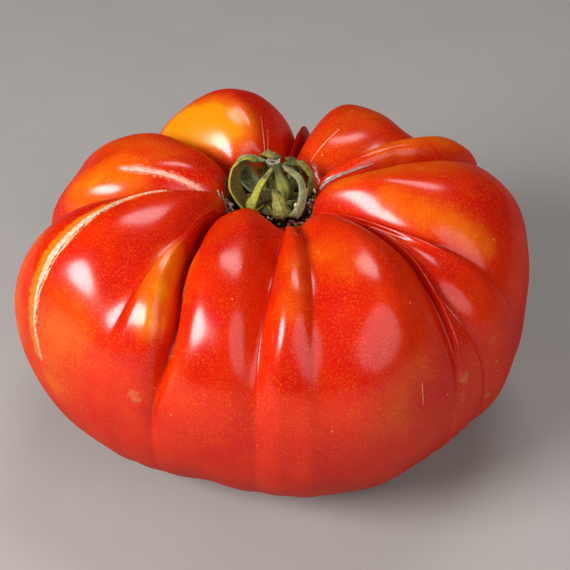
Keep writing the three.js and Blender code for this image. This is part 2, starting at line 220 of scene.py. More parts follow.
# The sepals in order round the stalk. One is turned about its own line, in degrees.
SEPALS = table(("name", "width", "colours", "line"), [
    ("left", 5, YELLOW_GREEN, [(-2, -1.2, 1.9), (-6.2, -3.6, 2.5), (-9, -2, 6.3), (-8.6, 0.8, 10.8),
     (-5.4, 1.6, 12.9), (-2.2, 1.4, 12.3)], {"turned": 38}),
    ("front_left", 3, YELLOW_GREEN, [(-1.4, -2.2, 1.9), (-4.9, -5.4, 2.5), (-4.3, -4.9, 5.4),
     (-2.4, -2.4, 8.4), (0.9, -0.2, 11.8)]),
    ("front", 4.8, OLIVE_BROWN, [(1, -2.4, 1.9), (2.9, -8, 2.4), (3, -9.2, 4), (2.2, -7, 6.2),
     (0.8, -4.8, 8.4)]),
    ("front_right", 3.8, GREY_GREEN, [(2.4, -1.8, 1.9), (6, -7.6, 2.4), (7.7, -7.4, 4.4), (8.4, -4.2, 7),
     (7, -1.6, 9.9), (2.8, 0.6, 11.7)]),
    ("right", 3, LEAF_GREEN, [(2.9, 0.2, 1.9), (7.9, -0.6, 2.5), (10.1, 0, 5.2), (10, 1.4, 8.4),
     (7.6, 2.2, 11.2), (3.2, 1, 11.7)]),
    ("back_right", 4.2, OLIVE_BROWN, [(2.2, 1.8, 1.9), (5.4, 4.9, 2.5), (7, 6.2, 5.9), (5.9, 5, 10),
     (3.7, 3, 11.7)]),
    ("back", 4.4, LEAF_GREEN, [(0.4, 2.4, 1.9), (0.2, 6.8, 2.5), (0, 9.2, 6.2), (-0.6, 6.6, 11.3),
     (0.4, 3.4, 13.2), (2.6, 2.4, 12.4)]),
    ("back_left", 4.8, GREY_GREEN, [(-1.6, 1.8, 1.9), (-4.8, 5, 2.5), (-7.4, 6, 6.2), (-7.4, 4.4, 10.6),
     (-4.8, 3, 12.7), (-1.2, 1.4, 12.3)]),
])
SEPAL_STEPS = 64
SEPAL_LANES = 16
SEPAL_HALF_THICKNESS = 0.24
MIDRIB_HALF_THICKNESS = 0.22
THINNEST_HALF_WIDTH = 0.12
HAIRS_A_SEPAL = 130
HAIR_WIDTH = 0.045
HAIR_ROOT = 0.12
HAIR_LENGTHS = (0.4, 0.95)

# Crumbs in the hollow: (x, y, size), or with a fourth number, the height over its floor, on the calyx
CRUMBS = {
    "pale": [
        (6.4, -6.9, 0.8, 5.2), (-0.4, -5.6, 0.5), (0.4, -6, 0.4), (-9.4, -4.2, 0.6, 3.4),
        (-9.6, -5.4, 0.5, 3.6), (-9, -6.2, 0.4, 3.2), (2.2, -8.4, 0.4), (9.8, -3.4, 0.45, 4),
    ],
    "pink": [
        (4.6, -8.9, 0.65), (5.6, -7.9, 0.6), (4.9, -7.4, 0.5), (6.2, -9, 0.5), (3.8, -9.8, 0.45),
        (7, -8.2, 0.5),
    ],
    "brown": [
        (9.8, -4.6, 0.9, 3.2), (10.4, -3.4, 0.8, 3.8), (9.6, -6, 0.7, 2.6), (10.6, -2.2, 0.6, 4),
        (-10.2, -3.4, 0.7, 3.4), (-10.2, -7, 0.6, 3), (7.8, -8.6, 0.6), (-3.4, -9.4, 0.5),
    ],
}
CRUMB_COLOURS = {
    "pale": ((0.72, 0.66, 0.55), (0.50, 0.42, 0.32)),
    "pink": ((0.55, 0.24, 0.16), (0.36, 0.12, 0.06)),
    "brown": ((0.36, 0.22, 0.11), (0.15, 0.08, 0.04)),
}
CRUMB_RINGS = 7
CRUMB_SIDES = 10
CRUMB_LIFT = 0.3

# Dry twigs: thickness, then points as (x, y, height over the skin)
DRY_TWIGS = [
    (0.34, (-8.8, -3.4, 1.0), (-10.2, -4.2, 2.2), (-11.6, -4.4, 2.8), (-12.6, -3.6, 2.2)),
    (0.28, (-9.2, -5.2, 1.0), (-10.6, -6, 2.4), (-12, -6, 3.0)),
    (0.26, (-9.6, -2.6, 1.4), (-10.8, -3.6, 3.2), (-11.4, -5.2, 2.6), (-11, -6.8, 1.6)),
    (0.24, (-8.6, -6.4, 1.2), (-9.8, -7.2, 2.2), (-11.4, -7.2, 2.6)),
    (0.3, (9.2, -2, 0.8), (10.2, -3.4, 1.8), (10.4, -5, 2.4)),
]
TWIG_SIDES = 6
TWIG_STEPS = 16

# Camera: the photograph's view, from 40 degrees above, in metres
CAMERA_AIM = (0.00194, 0.00583, 0.03556)
CAMERA_DISTANCE = 0.380
CAMERA_BEARING = -90
CAMERA_ELEVATION = 40
CAMERA_LENS = 94.5
CAMERA_SENSOR = 36
CAMERA_NEAREST = 0.01

# The stage, in metres, and its lights: bearing and elevation in degrees, width, height, power,
# colour and distance
FLOOR_HALF_SIDE = 3.0
LIGHTS_AIM = (0, 0, 0.04)
LIGHTS = {
    "key": (-146, 34, 0.34, 0.24, 4.6, (1.0, 0.97, 1.0), 0.6),
    "broad": (-56, 32, 0.6, 0.6, 1.7, (1.0, 0.97, 0.98), 0.6),
    "sky": (66, 66, 0.5, 0.28, 2.5, (1.0, 0.97, 1.0), 0.9),
}
WORLD_COLOUR = (0.95, 0.90, 0.82, 1)
WORLD_STRENGTH = 0.07

# Colours of the skin, as linear red, green and blue
DEEP_RED = (0.53, 0.005, 0.0002)
SCARLET = (0.63, 0.020, 0.0002)
ORANGE = (0.70, 0.095, 0.001)
GOLD = (0.72, 0.24, 0.001)
FLECK_GOLD = (0.88, 0.27, 0.015)
PALE_DOT = (0.90, 0.50, 0.20)
CRACK_HALO = (0.82, 0.22, 0.006)
SCAR_HALO = (0.86, 0.22, 0.13)
SPOT_TAN = (0.54, 0.22, 0.07)
# Painted shade in the folds and over the shaded lobe
FOLD_SHADE_RED = (0.34, 0.003, 0.003)
# Painted shade towards the sole, on the underside
SOLEWARD_SHADE_RED = (0.40, 0.012, 0.001)
RIM_BROWN = (0.30, 0.09, 0.02)
# Deep in the hollow: brown cork with painted shade of the hollow's depth, near black
HOLLOW_CORK_SHADE = (0.035, 0.014, 0.007)
BLOSSOM_BROWN = (0.22, 0.10, 0.035)
FRAYED_ORANGE = (0.82, 0.19, 0.012)


def along(values, place):
    """Values, numbers or points, at places along an even Catmull-Rom curve through the given ones."""
    values = np.asarray(values, float)
    place = np.clip(np.asarray(place, float), 0, len(values) - 1 - 1e-9)
    start = np.floor(place).astype(int)
    share = place - start
    if values.ndim > 1:
        share = share[..., None]
    last = len(values) - 1
    before, first, second, after = (values[np.clip(start + step, 0, last)] for step in (-1, 0, 1, 2))
    return 0.5 * (
        2 * first
        + (second - before) * share
        + (2 * before - 5 * first + 4 * second - after) * share**2
        + (3 * first - before - 3 * second + after) * share**3
    )


def smooth(value):
    """Eases a share from 0 to 1."""
    value = np.clip(value, 0, 1)
    return value * value * (3 - 2 * value)


def unit(vectors):
    """Vectors of length 1 in the same directions."""
    return vectors / np.maximum(np.linalg.norm(vectors, axis=-1, keepdims=True), 1e-9)


def bent_line(knots, share):
    """Points of a smooth line through the knots at shares of its length, and the way it runs there."""
    centre = along(knots, share * (len(knots) - 1))
    return centre, unit(np.gradient(centre, axis=0))


def rough_line(random, count, run):
    """Random values from -1 to 1 that change over about run steps."""
    knots = random.uniform(-1, 1, count // run + 3)
    return along(knots, np.arange(count) / run)


def rough_ring(random, count, run):
    """Random values from -1 to 1 that change over about run steps and close on themselves."""
    knots = random.uniform(-1, 1, count // run)
    place = np.arange(count) / run
    return along(np.concatenate([knots, knots[:3]]), place % len(knots))


def crest_line(lobe, place):
    """Radius and height along a lobe's crest, at places down it."""
    crown_radius, crown_height = lobe["crown"]
    girth_radius, girth_height = lobe["girth"]
    wall, power = lobe["wall"], 2 / lobe["fullness"]
    turn = (place - np.floor(place)) * math.pi / 2
    sine, cosine = np.sin(turn), np.cos(turn)
    stretch = np.minimum(np.floor(place), LAST_PLACE - 1)
    stretches = [stretch == 0, stretch == 1, stretch == 2, stretch == 3]
    wall_height = HOLLOW_FLOOR + HOLLOW_RISE
    radii = [
        wall * sine,
        crown_radius - (crown_radius - wall) * cosine,
        crown_radius + (girth_radius - crown_radius) * sine**power,
        SOLE_RADIUS + (girth_radius - SOLE_RADIUS) * cosine**power,
    ]
    heights = [
        HOLLOW_FLOOR + HOLLOW_RISE * (1 - cosine),
        wall_height + (crown_height - wall_height) * sine,
        girth_height + (crown_height - girth_height) * cosine**power,
        girth_height * (1 - sine**power),
    ]
    radius = np.select(stretches, radii, SOLE_RADIUS * (LAST_PLACE - place))
    return radius, np.select(stretches, heights, 0.0)


def turn_and_reach(lobe, place):
    """Angle round the core ring and distance from it, along a lobe's crest."""
    radius, height = crest_line(lobe, place)
    out, up = radius - CORE_RADIUS, height - CORE_HEIGHT
    return np.unwrap(np.arctan2(up, out)), np.hypot(out, up)


CREST_PLACES = np.linspace(0, LAST_PLACE, 4001)
TYPICAL_TURN = turn_and_reach(TYPICAL_LOBE, CREST_PLACES)[0]
CRESTS = [turn_and_reach(lobe, CREST_PLACES) for lobe in LOBES]


def crest_reach(number, turn):
    """A lobe's distance from the core ring at an angle round it."""
    turns, reaches = CRESTS[number]
    return np.interp(-turn, -turns, reaches)


def square_bite(share):
    """How far a sharp crease of depth 1 bites in, from 1 at the crease to 0 at the crest."""
    return 1 - (1 - (1 - share) ** CREASE_SQUARENESS) ** (1 / CREASE_SQUARENESS)


def hollowing(share, softness):
    """How far a crease of depth 1 bites in, with its bottom rounded."""
    share = np.clip(share, 0, 1)
    eased = np.sqrt(share * share * (1 - softness * softness) + softness * softness)
    return square_bite(eased) / square_bite(softness)


def crease(number, place):
    """Bearing in degrees, and depth, of the crease before a lobe."""
    lobe = LOBES[number % len(LOBES)]
    station = np.clip((place - 1) * 2, 0, len(lobe["bearings"]) - 1)
    return along(lobe["bearings"], station), along(lobe["depths"], station) * np.minimum(1, place)


def skin_points(number, across, place):
    """Points of the skin of one lobe, at shares across it from crease to crease and places down it."""
    across, place = np.broadcast_arrays(np.asarray(across, float), np.asarray(place, float))
    before, after = (number - 1) % len(LOBES), (number + 1) % len(LOBES)
    lobe, next_lobe = LOBES[number], LOBES[after]
    turn = np.interp(place, CREST_PLACES, TYPICAL_TURN)
    reach = crest_reach(number, turn)
    neighbour = np.where(across < 0.5, crest_reach(before, turn), crest_reach(after, turn))
    reach = reach + (neighbour - reach) / 2 * smooth(abs(2 * across - 1)) ** lobe.get("apart", 1)
    first_bearing, first_depth = crease(number, place)
    last_bearing, last_depth = crease(after, place)
    last_bearing = np.where(last_bearing < first_bearing, last_bearing + 360, last_bearing)
    crest = lobe.get("crest", MIDDLE_CREST)
    first_bite = hollowing(across / crest, lobe.get("softness", CREASE_SOFTNESS))
    last_bite = hollowing((1 - across) / (1 - crest), next_lobe.get("softness", CREASE_SOFTNESS))
    first_lean = lobe.get("lean", 0) * first_bite**2 * np.minimum(1, first_depth / FULL_LEAN_DEPTH)
    last_lean = next_lobe.get("lean", 0) * last_bite**2 * np.minimum(1, last_depth / FULL_LEAN_DEPTH)
    bearing = first_bearing + (last_bearing - first_bearing) * across + first_lean + last_lean
    bearing = np.radians(bearing)
    open_skin = smooth((place - 1.2) * 2) * (1 - smooth((place - 3.4) * 2))
    waves = np.sin(7 * bearing + 3 * turn) + np.sin(13 * bearing - 5 * turn + 1)
    waves = waves + np.sin(19 * bearing + 9 * turn + 2)
    reach = reach - first_depth * first_bite - last_depth * last_bite + WAVINESS * open_skin * waves / 2
    radius = np.maximum(CORE_RADIUS + reach * np.cos(turn), 0)
    height = np.maximum(CORE_HEIGHT + reach * np.sin(turn), 0)
    return np.stack([radius * np.cos(bearing), radius * np.sin(bearing), height], -1)


def skin_frame(number, across, place):
    """Points of the skin with their outward normals."""
    points = skin_points(number, across, place)
    right = skin_points(number, np.add(across, NORMAL_STEP), place)
    left = skin_points(number, np.subtract(across, NORMAL_STEP), place)
    below = skin_points(number, across, np.add(place, NORMAL_STEP))
    above = skin_points(number, across, np.subtract(place, NORMAL_STEP))
    return points, unit(np.cross(below - above, right - left))


def place_over_frame(points):
    """Where the stem's foot stands, in millimetres, so that the skin fills its node's box."""
    low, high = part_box("fruit")
    middle = (np.array(low) + np.array(high)) / 2 / MILLIMETRE
    shift = middle - (points.min(0) + points.max(0)) / 2
    return np.array([shift[0], shift[1], 0])


def new_piece(name, points, faces, material, node, fields=None):
    """One piece from points in millimetres about the stem's foot, standing for its node."""
    mesh = bpy.data.meshes.new(name)
    placed = (np.asarray(points) + STEM_PLACE) * MILLIMETRE
    mesh.from_pydata(placed.tolist(), [], faces)
    mesh.update()
    mesh.shade_smooth()
    for field, values in (fields or {}).items():
        attribute = mesh.attributes.new(field, "FLOAT", "POINT")
        attribute.data.foreach_set("value", np.asarray(values, np.float32))
    mesh.materials.append(material)
    piece = bpy.data.objects.new(name, mesh)
    bpy.context.collection.objects.link(piece)
    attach(piece, "root")
    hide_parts(node)


def grid_faces(lines, steps):
    """Faces between neighbouring lines of points, and between the last line and the first."""
    faces = []
    for line in range(lines):
        here, there = line * steps, (line + 1) % lines * steps
        for step in range(steps - 1):
            faces.append((here + step, here + step + 1, there + step + 1, there + step))
    return faces


def end_faces(lines, steps):
    """The two faces that close lines of points at their first and at their last point."""
    return [[line * steps for line in range(lines)],
            [line * steps + steps - 1 for line in range(lines)][::-1]]


def tube_faces(rings, sides, first=0):
    """Outward faces of a closed tube of rings whose points turn left round the way it runs."""
    faces = []
    for ring in range(rings - 1):
        low, high = first + ring * sides, first + (ring + 1) * sides
        for side in range(sides):
            after = (side + 1) % sides
            faces.append((low + after, high + after, high + side, low + side))
    faces.append([first + side for side in range(sides)][::-1])
    faces.append([first + (rings - 1) * sides + side for side in range(sides)])
    return faces


def even_turns(sides):
    """Angles spaced evenly round a ring."""
    return np.arange(sides) * 2 * math.pi / sides


def rings_round(centre, ahead, hint, radii):
    """Rings of points round a line, square to the way it runs. Radii has a row for each ring."""
    first = unit(np.cross(ahead, hint))
    second = np.cross(ahead, first)
    turn = even_turns(radii.shape[1])[:, None]
    return [
        spot + reach[:, None] * (np.cos(turn) * one + np.sin(turn) * other)
        for spot, reach, one, other in zip(centre, radii, first, second)
    ]


def lobe_columns(number):
    """Shares across a lobe of its columns of points, closer together near the creases."""
    girth_line = skin_points(number, np.linspace(0, 1, 5), GIRTH_PLACE)
    width = np.linalg.norm(np.diff(girth_line, axis=0), axis=1).sum()
    count = max(FEWEST_COLUMNS, round(width / SKIN_PITCH))
    even = np.arange(count) / count
    return even - COLUMN_CROWDING * np.sin(2 * math.pi * even) / (2 * math.pi)


def skin_rows():
    """Places down the skin, from just outside the hollow's centre to just before the sole's."""
    rows = [start + np.arange(count) / count for start, count in enumerate(SKIN_STRETCHES)]
    return np.concatenate(rows)[1:]


def nearest_on_route(points, route):
    """Distance of each point from a line of points, and the share of the way along it that is nearest."""
    best = np.full(len(points), 1e9)
    share = np.zeros(len(points))
    for step in range(len(route) - 1):
        start, leg = route[step], route[step + 1] - route[step]
        part = np.clip(((points - start) @ leg) / (leg @ leg), 0, 1)
        away = np.linalg.norm(points - start - part[:, None] * leg, axis=1)
        closer = away < best
        best[closer] = away[closer]
        share[closer] = (step + part[closer]) / (len(route) - 1)
    return best, share


def fold_shade_field(number, place, points):
    """Painted fold shade at each point of a lobe, from 0 to 1: how deep in a fold it lies, and all over a
    shaded lobe down to about its girth.
    """
    fold = LOBES[number].get("shaded", 0) * smooth((3.2 - place) * 2)
    for edge in (0, 1):
        away = np.linalg.norm(points - skin_points(number, edge, place), axis=1)
        depth = crease(number + edge, place)[1]
        fold = np.maximum(fold, np.minimum(1, depth / FOLD_SHADE_FULL_DEPTH) * np.exp(-away / FOLD_SHADE_REACH))
    return fold


def skin_route(name, route, steps):
    """Points on a lobe's skin along a route of (across, place)."""
    route = np.array(route)
    stops = np.linspace(0, len(route) - 1, steps)
    return skin_points(LOBE_NUMBER[name], along(route[:, 0], stops), along(route[:, 1], stops))


def gold_field(points):
    """How golden the skin stayed at each point."""
    gold = np.zeros(len(points))
    for name, start, end, reach, strength in GOLD_PATCHES:
        away = nearest_on_route(points, skin_route(name, (start, end), PATCH_STEPS))[0]
        gold = np.maximum(gold, strength * np.exp(-(away / reach) ** 2))
    return gold


def spot_field(points):
    """Distance in millimetres of each point from the edge of the nearest tan spot."""
    nearest = np.full(len(points), FARTHEST_FIELD)
    for name, across, place, radius in TAN_SPOTS:
        spot = skin_points(LOBE_NUMBER[name], across, place)
        nearest = np.minimum(nearest, np.linalg.norm(points - spot, axis=1) - radius)
    return nearest


def away_from_mark(points, mark, aside=0.0):
    """Distance in millimetres of each point from the edge of a mark, moved aside over its lobe."""
    name, route, half_widths = mark
    away, share = nearest_on_route(points, skin_route(name, np.add(route, (aside, 0)), MARK_STEPS))
    return np.minimum(away - along(half_widths, share * (len(route) - 1)), FARTHEST_FIELD)


def make_skin():
    """The fruit's whole skin as one closed mesh: points, faces and what its material needs."""
    rows = skin_rows()
    points, folds, down = [], [], []
    for number in range(len(LOBES)):
        columns = lobe_columns(number)
        across, place = np.repeat(columns, len(rows)), np.tile(rows, len(columns))
        lobe_points = skin_points(number, across, place)
        points.append(lobe_points)
        folds.append(fold_shade_field(number, place, lobe_points))
        down.append(place)
    points = np.concatenate(points)
    lines = len(points) // len(rows)
    top, bottom = len(points), len(points) + 1
    points = np.concatenate([points, [[0, 0, HOLLOW_FLOOR], [0, 0, 0]]])
    faces = grid_faces(lines, len(rows))
    for line in range(lines):
        here, there = line * len(rows), (line + 1) % lines * len(rows)
        faces.append((top, here, there))
        faces.append((here + len(rows) - 1, bottom, there + len(rows) - 1))
    fields = {
        # The crease field carries the painted fold shade
        "crease": np.concatenate([*folds, [0, 0]]),
        "down": np.concatenate([*down, [0, LAST_PLACE]]),
        "gold": gold_field(points),
        "crack": away_from_mark(points, SIDE_CRACK, aside=SIDE_CRACK_HALO_ASIDE),
        "scar": away_from_mark(points, SHOULDER_SCAR),
        "tan": spot_field(points),
    }
    return points, faces, fields


class Paint:
    """A new material with short calls for adding its nodes."""

    def __init__(self, name, **shader):
        self.material = bpy.data.materials.new(name)
        self.material.use_nodes = True
        self.tree = self.material.node_tree
        self.shader = self.tree.nodes["Principled BSDF"]
        self.where = self.add("ShaderNodeTexCoord", "Object", {})
        for socket, value in shader.items():
            self.shader.inputs[socket.replace("_", " ")].default_value = value

    def feed(self, socket, value):
        """Sets a socket to a number or colour, or links another socket to it."""
        if isinstance(value, bpy.types.NodeSocket):
            self.tree.links.new(value, socket)
        elif isinstance(value, tuple):
            socket.default_value = (*value, 1)
        else:
            socket.default_value = value

    def add(self, kind, output, inputs, **settings):
        """The output of a new node with its inputs and settings."""
        node = self.tree.nodes.new(kind)
        for name, value in settings.items():
            setattr(node, name, value)
        for socket, value in inputs.items():
            self.feed(node.inputs[socket], value)
        return node.outputs[output]

    def field(self, name):
        """A value carried by the mesh's points."""
        return self.add("ShaderNodeAttribute", "Fac", {}, attribute_name=name)

    def noise(self, size, detail=3, rough=0.5, where=None):
        """Cloudy variation with features about size millimetres across."""
        inputs = {"Scale": 1 / (size * MILLIMETRE), "Detail": detail, "Roughness": rough}
        return self.add("ShaderNodeTexNoise", "Fac", inputs | {"Vector": where or self.where})

    def specks(self, pitch):
        """Distance to the nearest of scattered points about pitch millimetres apart, in pitches."""
        inputs = {"Scale": 1 / (pitch * MILLIMETRE), "Vector": self.where}
        return self.add("ShaderNodeTexVoronoi", "Distance", inputs)

    def stretched(self, scales):
        """The place on the piece, scaled along each axis."""
        return self.add("ShaderNodeMapping", "Vector", {"Vector": self.where, "Scale": scales})

    def ramp(self, value, low, high, start=0.0, end=1.0):
        """A value carried smoothly from the range low to high over to start to end."""
        inputs = dict(enumerate((value, low, high, start, end)))
        return self.add("ShaderNodeMapRange", "Result", inputs, interpolation_type="SMOOTHSTEP")

    def combine(self, operation, first, second):
        """Two values made one."""
        return self.add("ShaderNodeMath", 0, {0: first, 1: second}, operation=operation)

    def plus(self, first, second):
        """The sum of two values."""
        return self.combine("ADD", first, second)

    def times(self, first, second):
        """The product of two values."""
        return self.combine("MULTIPLY", first, second)

    def mix(self, share, first, second):
        """A colour between two."""
        return self.add("ShaderNodeMix", 2, {0: share, 6: first, 7: second}, data_type="RGBA")

    def over(self, base, colour, value, low, high, most=1.0):
        """A colour laid over another as a value goes from low to high, up to the share most."""
        return self.mix(self.ramp(value, low, high, 0.0, most), base, colour)

    def bump(self, height, depth, under=None):
        """Fine relief of a height field, depth millimetres deep, over other relief."""
        inputs = {"Distance": depth * MILLIMETRE, "Height": height}
        if under is not None:
            inputs["Normal"] = under
        return self.add("ShaderNodeBump", "Normal", inputs)

    def done(self, colour, roughness=None, normal=None):
        """Connects the finished colour, roughness and relief."""
        self.feed(self.shader.inputs["Base Color"], colour)
        if roughness is not None:
            self.feed(self.shader.inputs["Roughness"], roughness)
        if normal is not None:
            self.feed(self.shader.inputs["Normal"], normal)
        return self.material


def ripe_colour(paint):
    """Scarlet in soft clouds, turning orange and golden where the skin ripened last."""
    gold = paint.field("gold")
    clouds = paint.noise(14, detail=4)
    red = paint.over(DEEP_RED, SCARLET, clouds, 0.3, 0.7)
    unevenness = paint.times(paint.ramp(paint.noise(6), 0.3, 0.75, -0.22, 0.22), gold)
    patchy = paint.plus(gold, unevenness)
    orange = paint.over(red, ORANGE, patchy, 0.05, 0.6)
    return gold, paint.over(orange, GOLD, patchy, 0.55, 1.1)


def speckled(paint, base, gold):
    """A fine golden speckle, stronger in the golden zones, and sparse pale dots."""
    flecks = paint.ramp(paint.noise(0.55, detail=1.5), 0.52, 0.68)
    dots = paint.ramp(paint.specks(0.62), 0.34, 0.16)
    speckle = paint.combine("MAXIMUM", paint.times(flecks, 0.55), dots)
    speckle = paint.times(speckle, paint.ramp(paint.noise(4), 0.3, 0.7, 0.35, 1.0))
    strength = paint.plus(paint.times(gold, 0.4), 0.22)
    base = paint.mix(paint.times(speckle, strength), base, FLECK_GOLD)
    sparse = paint.times(paint.ramp(paint.specks(7.5), 0.045, 0.025), 0.4)
    return paint.mix(sparse, base, PALE_DOT)


def marked(paint, base):
    """Paler skin beside the crack and the scar, and small tan spots."""
    wander = paint.ramp(paint.noise(1.2), 0.3, 0.7, -0.6, 0.6)
    crack = paint.plus(paint.field("crack"), wander)
    base = paint.over(base, CRACK_HALO, crack, 1.5, -0.3, 0.75)
    scar = paint.plus(paint.field("scar"), paint.times(wander, 0.6))
    base = paint.over(base, SCAR_HALO, scar, 0.7, -0.2, 0.8)
    tan = paint.plus(paint.field("tan"), wander)
    return paint.over(base, SPOT_TAN, tan, 1.0, -0.9, 0.45)


def shaded_by_place(paint, base):
    """Painted shade darkening the skin in the folds, towards the sole and deep in the hollow, over brown
    cork round the hollow, and brown on the sole.
    """
    # Painted shade: dark red in the folds and over the shaded lobe
    base = paint.over(base, FOLD_SHADE_RED, paint.field("crease"), 0.35, 0.95, 0.75)
    down = paint.field("down")
    # Painted shade: darker red towards the sole
    base = paint.over(base, SOLEWARD_SHADE_RED, down, 2.75, 3.6, 0.7)
    rim = paint.plus(down, paint.ramp(paint.noise(2.5), 0.3, 0.7, -0.2, 0.16))
    base = paint.over(base, RIM_BROWN, rim, 0.95, 0.78)
    # Painted shade deep in the hollow, over its brown cork
    base = paint.over(base, HOLLOW_CORK_SHADE, rim, 0.76, 0.6)
    blossom = paint.plus(down, paint.ramp(paint.noise(1.5), 0.3, 0.7, -0.06, 0.06))
    return paint.over(base, BLOSSOM_BROWN, blossom, 4.78, 4.86)


def skin_paint():
    """Glossy ripe skin."""
    paint = Paint("ripe_skin", Coat_Weight=0.22, Coat_Roughness=0.21, Coat_IOR=2.4,
                  Specular_IOR_Level=0.0, Subsurface_Weight=0.12,
                  Subsurface_Radius=(1.0, 0.25, 0.08), Subsurface_Scale=0.003)
    gold, base = ripe_colour(paint)
    base = speckled(paint, base, gold)
    base = marked(paint, base)
    base = shaded_by_place(paint, base)
    roughness = paint.ramp(paint.noise(2.2), 0.3, 0.7, 0.34, 0.44)
    relief = paint.bump(paint.noise(1.1, detail=2), 0.03)
    relief = paint.bump(paint.noise(6.5, detail=2), 0.16, under=relief)
    return paint.done(base, roughness, relief)


def cork_paint(name, pale, tan, dark):
    """Dry cork closing a crack, pale at its lips, and dark in its fissure: darker cork with painted shade
    of the narrow gap.
    """
    paint = Paint(name, Specular_IOR_Level=0.25)
    grain = paint.noise(0.7, detail=5, rough=0.7)
    fraying = paint.ramp(grain, 0.3, 0.7, -0.3, 0.3)
    base = paint.over(pale, tan, grain, 0.35, 0.65)
    deep = paint.plus(paint.field("fissure"), fraying)
    # Painted shade deep in the fissure, over darker cork
    base = paint.over(base, dark, deep, 0.35, 0.8)
    frayed = paint.plus(paint.field("edge"), fraying)
    base = paint.over(base, FRAYED_ORANGE, frayed, 0.75, 1.05)
    return paint.done(base, 0.75, paint.bump(grain, 0.3))


def leaf_paint(name, fresh, dry, tip, shaded_inside):
    """A half-dried sepal: green, browning in patches and towards its tip, with faint veins, and painted
    shade on its inner face away from the lit margin.
    """
    paint = Paint(name, Specular_IOR_Level=0.3, Subsurface_Weight=0.08,
                  Subsurface_Radius=(0.6, 0.8, 0.2), Subsurface_Scale=0.001)
    grain = paint.noise(0.9, detail=5, rough=0.65)
    base = paint.over(fresh, dry, grain, 0.4, 0.62)
    base = paint.mix(paint.times(paint.field("veins"), 0.4), base, VEIN_GREEN)
    # Painted shade on the inner face, lifting near the lit margin
    shade_off_margin = paint.ramp(paint.field("margin"), 0.8, 0.5, 0.0, 0.92)
    hollow = paint.times(paint.field("inner"), shade_off_margin)
    base = paint.mix(hollow, base, paint.over(shaded_inside, tip, grain, 0.4, 0.6))
    patches = paint.plus(paint.field("share"), paint.ramp(paint.noise(2.4), 0.3, 0.7, -0.22, 0.22))
    base = paint.over(base, tip, patches, 0.72, 1.0)
    mottle = paint.noise(0.45, detail=4, rough=0.7)
    base = paint.over(base, MOTTLE_BROWN, mottle, 0.5, 0.68, 0.7)
    base = paint.over(base, FUZZ_PALE, paint.noise(0.28, detail=3), 0.58, 0.7, 0.5)
    relief = paint.bump(paint.noise(0.35, detail=4), 0.3)
    return paint.done(base, paint.ramp(grain, 0.3, 0.7, 0.6, 0.9), relief)


def stalk_paint():
    """Ridged green stalk, darker towards its top with painted shade from the sepals over it and partly
    drier there, with a pale cut face and a dark pith.
    """
    paint = Paint("stalk_skin", Specular_IOR_Level=0.3)
    grain = paint.noise(0.8, detail=5, rough=0.65, where=paint.stretched([1, 1, 0.3]))
    base = paint.over((0.27, 0.29, 0.04), (0.19, 0.21, 0.06), grain, 0.38, 0.62)
    # Painted shade: darker towards the top, where the sepals overhang the stalk, partly drier too
    base = paint.over(base, (0.07, 0.075, 0.03), paint.field("up"), 0.5, 0.85, 0.85)
    base = paint.mix(paint.field("cut"), base, (0.46, 0.42, 0.32))
    base = paint.mix(paint.field("hollow"), base, (0.07, 0.055, 0.03))
    return paint.done(base, 0.8, paint.bump(grain, 0.2))


def plain_paint(name, first, second):
    """Dry plant matter of two mottled colours."""
    paint = Paint(name, Specular_IOR_Level=0.25)
    grain = paint.noise(0.6, detail=5, rough=0.7)
    base = paint.over(first, second, grain, 0.38, 0.62)
    return paint.done(base, 0.85, paint.bump(grain, 0.2))


def lay_strip(name, mark, material, seed, lip, fissure=0, fissure_at=0.35, lanes=8, ragged=0.45):
    """A corky strip along a route on the skin, with raised lips and a fissure down its length."""
    lobe, route, half_widths = mark
    number = LOBE_NUMBER[lobe]
    random = np.random.default_rng(seed)
    route = np.array(route)
    coarse = skin_points(number, route[:, 0], route[:, 1])
    steps = int(np.linalg.norm(np.diff(coarse, axis=0), axis=1).sum() / STRIP_STEP)
    place = np.linspace(0, len(route) - 1, steps)
    centre, normal = skin_frame(number, along(route[:, 0], place), along(route[:, 1], place))
    ahead = unit(np.gradient(centre, axis=0))
    side = unit(np.cross(normal, ahead))
    normal = np.cross(ahead, side)
    half = along(half_widths, place)
    points, edge, deep = [], [], []
    for across in np.linspace(-1, 1, lanes + 1):
        wander = 1 + ragged * rough_line(random, steps, 5) * abs(across)
        height = lip * (1 - abs(across) ** 6) * (0.75 + 0.25 * rough_line(random, steps, 3))
        groove = np.exp(-((across - fissure_at - 0.14 * np.sin(place * 2.3)) / 0.17) ** 2)
        height = height - fissure * groove
        if abs(across) == 1:
            height = np.full(steps, -STRIP_EDGE_SINK)
        points.append(centre + side * (across * half * wander)[:, None] + normal * height[:, None])
        edge.append(np.full(steps, abs(across)))
        deep.append(groove)
    points.append(centre - normal * STRIP_BELLY_SINK)
    edge.append(np.ones(steps))
    deep.append(np.zeros(steps))
    faces = grid_faces(len(points), steps) + end_faces(len(points), steps)
    fields = {"edge": np.concatenate(edge), "fissure": np.concatenate(deep)}
    new_piece(name, np.concatenate(points), faces, material, "fruit", fields)


def sepal_frame(sepal, share):
    """A sepal's middle line, with its outward and sideways directions at each step."""
    centre, ahead = bent_line(np.array(sepal["line"]) + FLOOR_LEVEL, share)
    outward = centre - (np.array(CAGE_CENTRE) + FLOOR_LEVEL)
    outward = unit(outward - ahead * (outward * ahead).sum(1, keepdims=True))
    side = np.cross(ahead, outward)
    turn = math.radians(sepal.get("turned", 0))
    turned_side = math.cos(turn) * side + math.sin(turn) * outward
    turned_outward = math.cos(turn) * outward - math.sin(turn) * side
    return centre, turned_side, turned_outward


def vein_height(lane, share):
    """How far a sepal's midrib and side veins stand out at a lane, at every step along it."""
    midrib = math.exp(-(lane / 0.1) ** 2)
    side_vein = 0.6 * np.exp(-((abs(lane) - 0.55) / 0.09) ** 2)
    return np.maximum(midrib, side_vein * np.ones_like(share))


